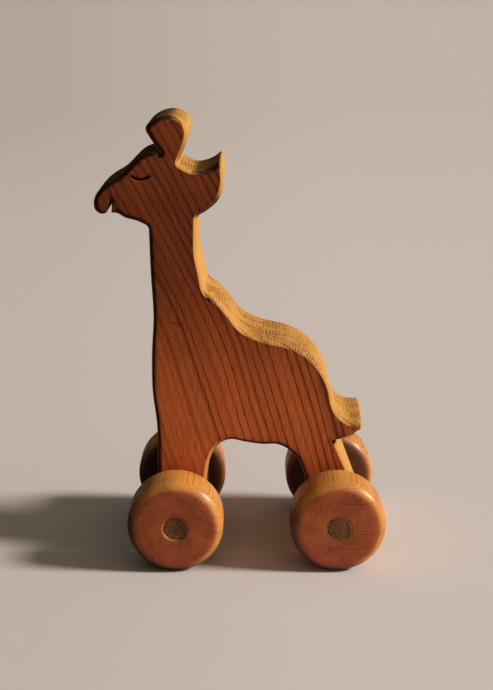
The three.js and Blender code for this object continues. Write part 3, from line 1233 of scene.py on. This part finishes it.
def wheel_tree() -> bpy.types.NodeTree:
    """Builds the geometry nodes that sweep a wheel's section round its axle.

    Returns:
        The tree. Its sizes are in metres, and its section has a round shoulder on each rim
        and a small lip at each end of the bore.
    """
    sketch, given, wanted = new_group("turned_wheel", "GeometryNodeTree", {
        ("Geometry", GEOMETRY): None, ("Radius", FLOAT): 0.021, ("Width", FLOAT): 0.021,
        ("Bore Radius", FLOAT): 0.005, ("Shoulder", FLOAT): 0.005, ("Lip", FLOAT): 0.0004,
        ("Middle", VECTOR): None, ("Grain Turn", FLOAT): 0.0, ("Grain Shift", VECTOR): None,
        ("Unevenness", FLOAT): 0.00008, ("Inner Side", FLOAT): 1.0, ("Finish", MATERIAL): None,
    }, {"Geometry": GEOMETRY})
    wheel = sweep_section(sketch, given)
    place = sketch.add("GeometryNodeInputPosition").outputs[0]
    normal = sketch.add("GeometryNodeInputNormal").outputs[0]
    mesh = lay_timber(sketch, given, wheel, place, normal)
    mesh = mark_finish(sketch, given, mesh, place, normal)
    moved = sketch.add("GeometryNodeTransform", {"Geometry": mesh, "Translation": given["Middle"]})
    real = sketch.add("GeometryNodeRealizeInstances", {"Geometry": moved.outputs[0]})
    finished = sketch.add("GeometryNodeSetMaterial", {"Geometry": real.outputs[0],
                                                      "Material": given["Finish"]})
    sketch.put(wanted["Geometry"], finished.outputs[0])
    return sketch.tree


def sweep_section(sketch: Sketch, given: dict[str, Socket]) -> Socket:
    """Sweeps the wheel's rounded section round the y axis.

    Args:
        sketch: The wheel's tree.
        given: The tree's inputs by name.

    Returns:
        The bare wheel, with its middle at the origin.
    """
    fillet_points, section_step, turn_steps = 14, 0.0007, 144
    wall = sketch.math("SUBTRACT", given["Radius"], given["Bore Radius"])
    mean = sketch.times(sketch.math("ADD", given["Radius"], given["Bore Radius"]), 0.5)
    section = sketch.add("GeometryNodeCurvePrimitiveQuadrilateral",
                         {"Width": wall, "Height": given["Width"]})
    side = sketch.split(sketch.add("GeometryNodeInputPosition").outputs[0])[0]
    outer = sketch.math("GREATER_THAN", side, 0.0)
    shape = sketch.times_plus(outer, sketch.math("SUBTRACT", given["Shoulder"], given["Lip"]),
                              given["Lip"])
    rounded = sketch.add("GeometryNodeFilletCurve", {"Curve": section.outputs[0], "Radius": shape})
    rounded.mode = "POLY"
    sketch.put(rounded.inputs["Count"], fillet_points)
    even = sketch.add("GeometryNodeResampleCurve", {"Curve": rounded.outputs[0]}, mode="LENGTH")
    sketch.put(even.inputs["Length"], section_step)
    path = sketch.add("GeometryNodeCurvePrimitiveCircle", {"Resolution": turn_steps,
                                                           "Radius": mean})
    swept = sketch.add("GeometryNodeCurveToMesh", {"Curve": path.outputs[0],
                                                   "Profile Curve": even.outputs[0]})
    return sketch.add("GeometryNodeTransform", {"Geometry": swept.outputs[0],
                                                "Rotation": (math.pi / 2, 0, 0)}).outputs[0]


def lay_timber(sketch: Sketch, given: dict[str, Socket], wheel: Socket, place: Socket,
               normal: Socket) -> Socket:
    """Gives the wheel its own piece of timber, and a faintly uneven surface.

    Args:
        sketch: The wheel's tree.
        given: The tree's inputs by name.
        wheel: The bare wheel.
        place: Each point's position.
        normal: Each point's normal.

    Returns:
        The wheel with its "timber" attribute in millimetres.
    """
    lumps_per_metre, mean_lump = 130.0, 0.62
    turn = sketch.add("ShaderNodeVectorRotate", {"Vector": place, "Axis": (0, 1, 0),
                                                 "Angle": given["Grain Turn"]}).outputs[0]
    timber = sketch.vector("ADD", sketch.vector("SCALE", turn, scale=1.0 / MM),
                           given["Grain Shift"])
    mesh = store(sketch, wheel, "timber", "FLOAT_VECTOR", timber)
    shifted = sketch.vector("ADD", place, sketch.vector("SCALE", given["Grain Shift"], scale=MM))
    lump = sketch.noise(sketch.vector("SCALE", shifted, scale=lumps_per_metre))
    offset = sketch.times(sketch.math("SUBTRACT", lump, mean_lump), given["Unevenness"])
    return sketch.add("GeometryNodeSetPosition", {
        "Geometry": mesh, "Offset": sketch.vector("SCALE", normal, scale=offset)}).outputs[0]


def mark_finish(sketch: Sketch, given: dict[str, Socket], wheel: Socket, place: Socket,
                normal: Socket) -> Socket:
    """Marks the end grain of the wheel, grime round the hub, and painted shade.

    The painted shade gives the lower front of the rim, which faces away from the lamp, the flat
    faces' dark colour and darkens it, and darkens the inner face, most at the front.
        given: The tree's inputs by name.
        wheel: The wheel with its timber.
        place: Each point's position.
        normal: Each point's normal.

    Returns:
        The wheel with its "end_grain_and_shade" and "stain" attributes.
    """
    low_shade, hub_start, hub_stop = 0.78, 0.0052, 0.0066
    place_x, _, place_z = sketch.split(place)
    facing = sketch.split(normal)[1]
    flat = sketch.ramp(sketch.math("ABSOLUTE", facing), 0.84, 0.99)
    # Painted shade: the lower front of the rim, which faces away from the lamp, takes the flat
    # faces' dark colour.
    low = sketch.ramp(sketch.math("DIVIDE", sketch.math("ADD", place_x, place_z),
                                  given["Radius"]), 0.1, -0.95)
    mesh = store(sketch, wheel, "end_grain_and_shade", "FLOAT", sketch.math("MAXIMUM", flat, low))
    reach = sketch.add("ShaderNodeVectorMath", {0: sketch.vector("MULTIPLY", place, (1, 0, 1))},
                       operation="LENGTH").outputs["Value"]
    # Painted shade: the inner face, towards the body, darkens, and more at the front, where the
    # body's shadow falls.
    front = sketch.ramp(sketch.math("DIVIDE", place_x, given["Radius"]), 0.3, -0.3, 0.78, 0.97)
    inner = sketch.ramp(sketch.times(facing, given["Inner Side"]), 0.50, 0.95)
    grime_and_shade = sketch.math("MAXIMUM", sketch.ramp(reach, hub_start, hub_stop, 0.35, 0.0),
                        sketch.times(inner, front))
    # Painted shade: the lower front of the rim darkens too, on top of the grime round the hub.
    grime_and_shade = sketch.math("MAXIMUM", grime_and_shade, sketch.times(
        low, sketch.times_plus(flat, -low_shade, low_shade)))
    return store(sketch, mesh, "stain_and_shade", "FLOAT", grime_and_shade)


def grow(name: str, tree: bpy.types.NodeTree, values: dict[str, object]) -> bpy.types.Object:
    """Evaluates a geometry tree with its own inputs and keeps the result as a plain mesh.

    Args:
        name: Name of the piece.
        tree: The geometry nodes.
        values: Input values by socket name.

    Returns:
        The finished object, with no modifier.
    """
    piece = bpy.data.objects.new(name, bpy.data.meshes.new(name + "_seed"))
    bpy.context.scene.collection.objects.link(piece)
    modifier = piece.modifiers.new("shape", "NODES")
    modifier.node_group = tree
    for socket in tree.interface.items_tree:
        if socket.in_out == "INPUT" and socket.name in values:
            modifier[socket.identifier] = values[socket.name]
    graph = bpy.context.evaluated_depsgraph_get()
    made = bpy.data.meshes.new_from_object(piece.evaluated_get(graph), depsgraph=graph)
    piece.modifiers.remove(modifier)
    piece.data = made
    made.name = name
    made.polygons.foreach_set("use_smooth", [True] * len(made.polygons))
    if signed_volume(made) < 0:
        made.flip_normals()
    return piece


def signed_volume(mesh: bpy.types.Mesh) -> float:
    """Returns a closed mesh's volume, below zero where its faces point inwards."""
    total = 0.0
    for polygon in mesh.polygons:
        first, *rest = [mesh.vertices[index].co for index in polygon.vertices]
        total += sum(first.dot(a.cross(b)) for a, b in zip(rest, rest[1:])) / 6
    return total


def lathe(profile: np.ndarray, steps: int) -> tuple[np.ndarray, list]:
    """Spins a section of radius and y round the y axis.

    Args:
        profile: Rows of radius and y, by rising y, that start and end on the axis.
        steps: Points round the axis.

    Returns:
        Points in millimetres and faces that point outwards.
    """
    turn = np.linspace(0, math.tau, steps, endpoint=False)
    inner = profile[1:-1]
    rings = [np.column_stack([r * np.cos(turn), np.full(steps, y), r * np.sin(turn)])
             for r, y in inner]
    points = np.vstack([[[0, profile[0, 1], 0]], *rings, [[0, profile[-1, 1], 0]]])
    faces = []
    last = len(points) - 1
    for step in range(steps):
        after = (step + 1) % steps
        faces.append((0, 1 + step, 1 + after))
        for ring in range(len(inner) - 1):
            a, b = 1 + ring * steps + step, 1 + ring * steps + after
            faces.append((a, a + steps, b + steps, b))
        top = 1 + (len(inner) - 1) * steps
        faces.append((last, top + after, top + step))
    return points, faces


@dataclass(frozen=True)
class HubLook:
    """How one end of an axle shows in its wheel, and how the wheel's timber lies.

    end_y is how far the dowel's end lies from the toy's middle.
    """

    end_y: float
    fibre_degrees: float
    wheel_grain_degrees: float
    timber_shift: tuple[float, float, float]


@dataclass
class Wheelset:
    """One turning dowel with a glued wheel on each end."""

    end: End
    hubs: dict[Side, HubLook]
    shoulder: float = 4.9
    lip: float = 0.5
    bore_gap: float = 0.28
    glue_gap: float = 0.14
    glue_inset: float = 0.16
    dowel_steps: int = 72
    chamfer: float = 0.45
    fuzz_inset: float = 0.08
    end_stain: float = 0.25

    def __post_init__(self) -> None:
        """Reads the sizes of the dowel from the CAD node."""
        self.body = self.end.value + "_wheelset"
        self.axle_node = self.end.value + "_axle"
        low, high = (np.array(corner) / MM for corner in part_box(self.axle_node))
        self.middle = (low + high) / 2
        self.axle_radius = (high[2] - low[2]) / 2

    def wheel_node(self, side: Side) -> str:
        """Returns the CAD name of one wheel."""
        return f"{self.end.value}_{side.name.lower()}_wheel"

    def build_wheel(self, side: Side, tree: bpy.types.NodeTree,
                    material: bpy.types.Material) -> bpy.types.Object:
        """Builds one wheel from the geometry tree.

        Args:
            side: Which wheel.
            tree: The wheel's geometry nodes.
            material: Finish of the wheel.

        Returns:
            The finished wheel.
        """
        node = self.wheel_node(side)
        low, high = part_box(node)
        hub = self.hubs[side]
        wheel = grow("turned_" + node, tree, {
            "Radius": (high.z - low.z) / 2, "Width": high.y - low.y,
            "Bore Radius": (self.axle_radius + self.bore_gap) * MM,
            "Shoulder": self.shoulder * MM, "Lip": self.lip * MM,
            "Middle": tuple((low + high) / 2),
            "Grain Turn": math.radians(hub.wheel_grain_degrees),
            "Grain Shift": hub.timber_shift, "Inner Side": float(-side.value), "Finish": material,
        })
        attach(wheel, self.body)
        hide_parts(node)
        return wheel

    def build_axle(self, material: bpy.types.Material) -> bpy.types.Object:
        """Builds the dowel, whose sawn ends show torn fibres.

        Args:
            material: Finish of the dowel.

        Returns:
            The finished dowel.
        """
        flat_rings, body_rings, end_slack = 16, 24, 0.01
        radius, chamfer = self.axle_radius, self.chamfer
        ends = {side: side.value * self.hubs[side].end_y for side in Side}
        flat = np.linspace(0, radius - chamfer, flat_rings)
        left = [(r, ends[Side.LEFT]) for r in flat]
        right = [(r, ends[Side.RIGHT]) for r in flat[::-1]]
        body = np.linspace(ends[Side.LEFT] + chamfer, ends[Side.RIGHT] - chamfer, body_rings)
        points, faces = lathe(np.array(left + [(radius, y) for y in body] + right),
                              self.dowel_steps)
        facing = np.zeros(len(points))
        timber = points.copy()
        for side in Side:
            hub = self.hubs[side]
            at_end = np.abs(points[:, 1] - ends[side]) < end_slack
            turn = math.radians(hub.fibre_degrees)
            x = points[:, 0] * math.cos(turn) + points[:, 2] * math.sin(turn)
            z = points[:, 2] * math.cos(turn) - points[:, 0] * math.sin(turn)
            near = points[:, 1] * side.value > 0
            timber[near] = np.column_stack([z + hub.timber_shift[0], points[:, 1], x])[near]
            rough = (0.07 * np.sin(z * 9.0 + 0.9 * np.sin(x * 1.9))
                     + 0.05 * np.sin(z * 17.0 + 2.0 * np.sin(x * 1.1 + 2)))
            points[at_end, 1] += side.value * rough[at_end] - side.value * self.fuzz_inset
            facing[at_end] = 1.0
        piece = finish_mesh(self.end.value + "_dowel", points + self.middle, faces, material, {
            "timber": timber, "end_grain_and_shade": facing, "stain_and_shade": self.end_stain * facing,
        })
        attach(piece, self.body)
        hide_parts(self.axle_node)
        return piece

    def build_glue(self, side: Side, material: bpy.types.Material) -> bpy.types.Object:
        """Builds the thin line of set glue between the dowel's end and its wheel.

        Args:
            side: Which end of the dowel.
            material: Finish of the glue.

        Returns:
            The finished ring.
        """
        thick, deep, rounds, steps = 0.13, 0.26, 10, 96
        mean = self.axle_radius + self.glue_gap
        surface = self.hubs[side].end_y - self.glue_inset
        turns = np.linspace(0, math.tau, steps, endpoint=False)
        points, faces = [], []
        for step, turn in enumerate(turns):
            swell = 1 + 0.25 * math.sin(3 * turn + 1) + 0.15 * math.sin(7 * turn)
            for part in range(rounds):
                around = math.tau * part / rounds
                r = mean + thick * math.cos(around)
                y = side.value * (surface + deep * swell * math.sin(around))
                points.append((r * math.cos(turn), y, r * math.sin(turn)))
                a, b = step * rounds + part, step * rounds + (part + 1) % rounds
                c, d = ((index + rounds) % (steps * rounds) for index in (a, b))
                faces.append((a, b, d, c) if side is Side.RIGHT else (a, c, d, b))
        place = np.array(points) + [self.middle[0], 0, self.middle[2]]
        name = f"{self.end.value}_{side.name.lower()}_glue_line"
        piece = finish_mesh(name, place, faces, material, {})
        if signed_volume(piece.data) < 0:
            piece.data.flip_normals()
        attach(piece, self.body)
        return piece


@dataclass(frozen=True)
class GlueFinish:
    """Thin line of set glue, paler than the wood round it."""

    name: str = "set_glue"
    clear: Colour = (0.86, 0.37, 0.065)
    cloudy: Colour = (0.30, 0.11, 0.025)
    clouds_per_metre: float = 700.0

    def build(self) -> bpy.types.Material:
        """Builds the material of the glue."""
        material, sketch, shader = new_material(self.name)
        place = sketch.add("ShaderNodeTexCoord").outputs["Object"]
        cloud = sketch.noise(sketch.vector("SCALE", place, scale=self.clouds_per_metre), 3.0)
        sketch.put(shader.inputs["Base Color"], sketch.mix(
            sketch.ramp(cloud, 0.35, 0.65), self.clear, self.cloudy))
        sketch.put(shader.inputs["Roughness"], sketch.times_plus(cloud, 0.2, 0.28))
        add_bump(sketch, shader, cloud, 0.08)
        return material


# ---- studio ---------------------------------------------------------------------------------


@dataclass
class Studio:
    """Pale paper floor, one soft lamp from the giraffe's tail end, and the camera.

    The lamp's elevation, its turn towards the camera and its spread are in degrees.
    """

    camera_place: tuple[float, float, float] = (0.00164, -0.52527, 0.24185)
    camera_pitch_degrees: float = 15.863
    lens: float = 63.247
    clip: tuple[float, float] = (0.05, 200.0)
    sun_elevation: float = 31.0
    sun_forward: float = 7.0
    sun_strength: float = 3.45
    sun_spread: float = 11.5
    sun_colour: Colour = (1.0, 0.985, 0.95)
    floor_reach: float = 60.0
    room_dark: Colour = (0.020, 0.017, 0.014)
    room_bright: Colour = (0.27, 0.24, 0.20)
    horizon: Colour = (0.512, 0.432, 0.371)
    horizon_shade: Colour = (0.427, 0.352, 0.293)

    def build_camera(self) -> None:
        """Adds the camera."""
        data = bpy.data.cameras.new("camera")
        data.lens = self.lens
        data.clip_start, data.clip_end = self.clip
        camera = bpy.data.objects.new("camera", data)
        camera.location = self.camera_place
        camera.rotation_euler = (math.radians(90 - self.camera_pitch_degrees), 0, 0)
        bpy.context.scene.collection.objects.link(camera)
        bpy.context.scene.camera = camera

    def build_floor(self) -> None:
        """Adds the floor."""
        reach = self.floor_reach / MM
        corners = np.array([(x * reach, y * reach, 0) for x, y in
                            ((-1, -1), (1, -1), (1, 1), (-1, 1))], float)
        floor = finish_mesh("floor", corners, [(0, 1, 2, 3)], BackdropFinish().build(), {})

    def build_lamp(self) -> None:
        """Adds the lamp."""
        data = bpy.data.lights.new("lamp", "SUN")
        data.energy = self.sun_strength
        data.angle = math.radians(self.sun_spread)
        data.color = self.sun_colour
        lamp = bpy.data.objects.new("lamp", data)
        up, turn = math.radians(self.sun_elevation), math.radians(-self.sun_forward)
        towards = Vector((math.cos(up) * math.cos(turn), math.cos(up) * math.sin(turn),
                          math.sin(up)))
        lamp.rotation_mode = "QUATERNION"
        lamp.rotation_quaternion = towards.to_track_quat("Z", "Y")
        bpy.context.scene.collection.objects.link(lamp)

    def build_room(self) -> None:
        """Adds the faint light of the room, and the horizon that only the camera sees."""
        world = bpy.data.worlds.new("room")
        bpy.context.scene.world = world
        world.use_nodes = True
        sketch = Sketch(world.node_tree)
        seen = sketch.add("ShaderNodeLightPath").outputs["Is Camera Ray"]
        x, _, z = sketch.split(sketch.add("ShaderNodeTexCoord").outputs["Generated"])
        lit_side = sketch.ramp(sketch.times_plus(x, 0.6, sketch.times(z, 0.9)), 0.0, 1.0)
        room = sketch.mix(lit_side, self.room_dark, self.room_bright)
        side = sketch.ramp(x, *BackdropFinish().side_turn)
        far = sketch.mix(side, self.horizon, self.horizon_shade)
        background = world.node_tree.nodes["Background"]
        sketch.put(background.inputs["Color"], sketch.mix(seen, room, far))

    def build(self) -> None:
        """Adds everything that isn't part of the toy, and sets plain colour handling."""
        bpy.context.scene.view_settings.view_transform = "Standard"
        self.build_camera()
        self.build_floor()
        self.build_lamp()
        self.build_room()


def report(piece: bpy.types.Object) -> None:
    """Logs a finished piece's size."""
    piece.data.calc_loop_triangles()
    LOG.info("%s: %d triangles", piece.name, len(piece.data.loop_triangles))


def main() -> None:
    """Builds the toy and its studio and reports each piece."""
    logging.basicConfig(level=logging.INFO, format="%(name)s: %(message)s")
    Studio().build()
    groups = TimberGroups()
    report(GiraffeBody().build(PlankFinish().build(groups)))
    wheel_finish = TurnedFinish(
        "varnished_wheel", light=(0.84, 0.335, 0.062), dark=(0.24, 0.066, 0.014),
        face_light=(0.62, 0.128, 0.031), face_dark=(0.105, 0.023, 0.0075), ring_mm=0.95,
        heart_mm=70.0, line_share=0.75, ray_share=0.55, roughness=0.40, coat=0.26).build(groups)
    dowel_finish = TurnedFinish(
        "dark_dowel", light=(0.40, 0.19, 0.07), dark=(0.016, 0.008, 0.005),
        face_light=(0.47, 0.170, 0.052), face_dark=(0.008, 0.004, 0.0025), ring_mm=1.35,
        heart_mm=30.0, line_share=1.1, ray_share=0.2, roughness=0.5, bump_mm=0.25).build(groups)
    glue_finish = GlueFinish().build()
    tree = wheel_tree()
    wheelsets = [
        Wheelset(End.FRONT, {
            Side.LEFT: HubLook(40.45, 24.0, 62.0, (3.0, 0.0, 5.0)),
            Side.RIGHT: HubLook(40.8, 70.0, 15.0, (40.0, 9.0, 21.0)),
        }),
        Wheelset(End.REAR, {
            Side.LEFT: HubLook(40.95, 76.0, 88.0, (18.0, 4.0, 5.0)),
            Side.RIGHT: HubLook(40.7, 10.0, 35.0, (60.0, 2.0, 3.0)),
        }),
    ]
    for wheelset in wheelsets:
        report(wheelset.build_axle(dowel_finish))
        for side in Side:
            report(wheelset.build_wheel(side, tree, wheel_finish))
            report(wheelset.build_glue(side, glue_finish))


if __name__ == "__main__":
    main()
